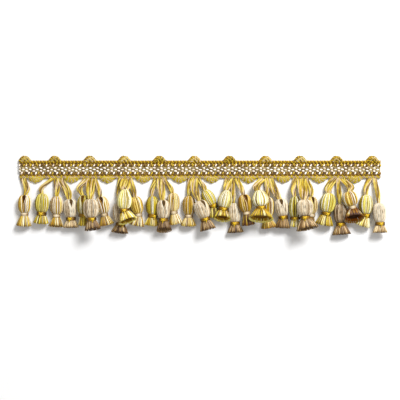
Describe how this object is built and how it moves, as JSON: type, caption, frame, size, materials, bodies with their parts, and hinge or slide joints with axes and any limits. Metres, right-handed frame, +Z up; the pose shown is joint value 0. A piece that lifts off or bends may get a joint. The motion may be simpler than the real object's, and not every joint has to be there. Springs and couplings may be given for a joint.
{
  "type": "tassel fringe trim",
  "caption": "Straight woven trim with scalloped edge cords and hanging bulb tassels with flared skirts, laid face up",
  "frame": {"origin": "middle of the heading's back face", "axes": "+X along the trim, +Y from the tassels to the top edge, +Z up from the surface it lies on"},
  "size_m": [0.2942, 0.0638, 0.019],
  "materials": {
    "braid_yarn": "matt",
    "cord_yarn": "satin",
    "yellow_floss": "satin",
    "amber_floss": "satin",
    "taupe_floss": "satin",
    "gold_tie_thread": "satin"
  },
  "bodies": {
    "root": {"heading_braid": "braid_yarn", "top_edge_cord": "cord_yarn", "lower_edge_cord": "cord_yarn", "tassel_01": "amber_floss", "tassel_02": "yellow_floss", "tassel_03": "amber_floss", "tassel_04": "taupe_floss", "tassel_05": "yellow_floss", "tassel_06": "taupe_floss", "tassel_07": "amber_floss", "tassel_08": "yellow_floss", "tassel_09": "amber_floss", "tassel_10": "taupe_floss", "tassel_11": "yellow_floss", "tassel_12": "taupe_floss", "tassel_13": "amber_floss", "tassel_14": "amber_floss", "tassel_15": "taupe_floss", "tassel_16": "yellow_floss", "tassel_17": "yellow_floss", "tassel_18": "taupe_floss", "tassel_19": "amber_floss", "tassel_20": "yellow_floss", "tassel_21": "amber_floss", "tassel_22": "taupe_floss", "tassel_23": "yellow_floss", "tassel_24": "taupe_floss", "tassel_25": "amber_floss", "tassel_26": "yellow_floss", "tassel_27": "taupe_floss", "tassel_28": "amber_floss", "tassel_29": "yellow_floss", "tassel_30": "taupe_floss", "tie_02": "gold_tie_thread", "tie_04": "gold_tie_thread", "tie_05": "gold_tie_thread", "tie_06": "gold_tie_thread", "tie_08": "gold_tie_thread", "tie_10": "gold_tie_thread", "tie_11": "gold_tie_thread", "tie_12": "gold_tie_thread", "tie_15": "gold_tie_thread", "tie_16": "gold_tie_thread", "tie_17": "gold_tie_thread", "tie_18": "gold_tie_thread", "tie_20": "gold_tie_thread", "tie_22": "gold_tie_thread", "tie_23": "gold_tie_thread", "tie_24": "gold_tie_thread", "tie_26": "gold_tie_thread", "tie_27": "gold_tie_thread", "tie_29": "gold_tie_thread", "tie_30": "gold_tie_thread"}
  },
  "joints": []
}
